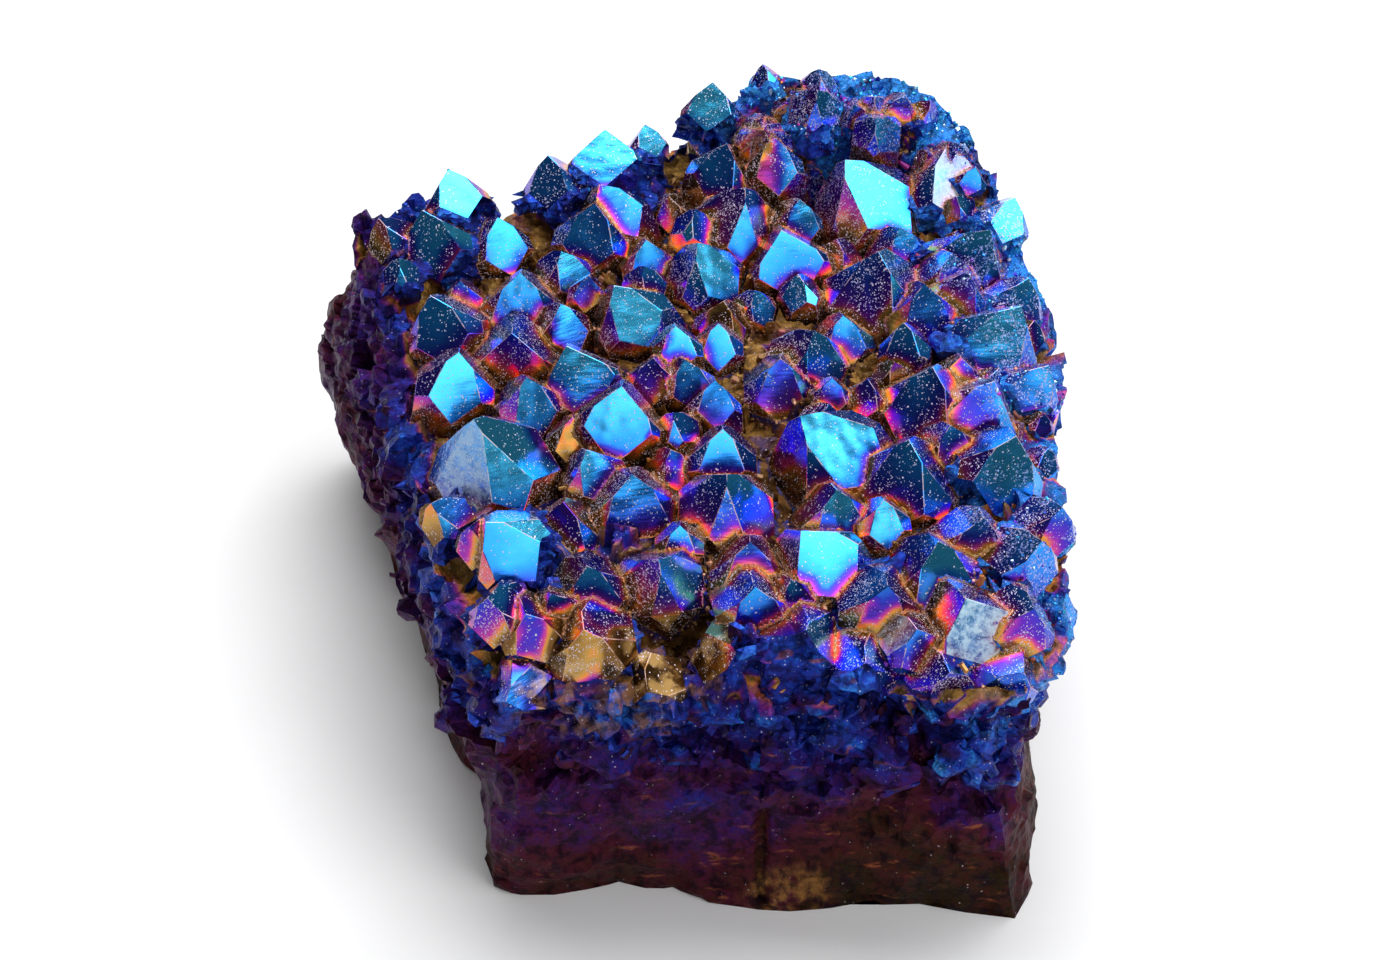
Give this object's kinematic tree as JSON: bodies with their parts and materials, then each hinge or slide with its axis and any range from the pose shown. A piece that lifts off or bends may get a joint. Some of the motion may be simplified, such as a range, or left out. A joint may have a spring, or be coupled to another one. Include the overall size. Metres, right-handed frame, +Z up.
{
  "type": "aura quartz cluster",
  "caption": "Palm-sized block of broken rock, crystal side up, with a metal-coated rainbow druse of hexagonal quartz points; it rests on its flat underside.",
  "frame": {"origin": "middle of the bounding box, on the flat broken underside", "axes": "+X to the right along the front broken face, +Y away from that face, +Z up, the way the crystals point"},
  "size_m": [0.0866, 0.0922, 0.047],
  "materials": {
    "aura_coating": "vapour-deposited metal film on quartz: azure and cyan on the faces, violet, magenta, orange and gold in the valleys, dark brown-purple on the broken rock"
  },
  "bodies": {
    "root": {"quartz_cluster": "aura_coating"}
  },
  "joints": []
}
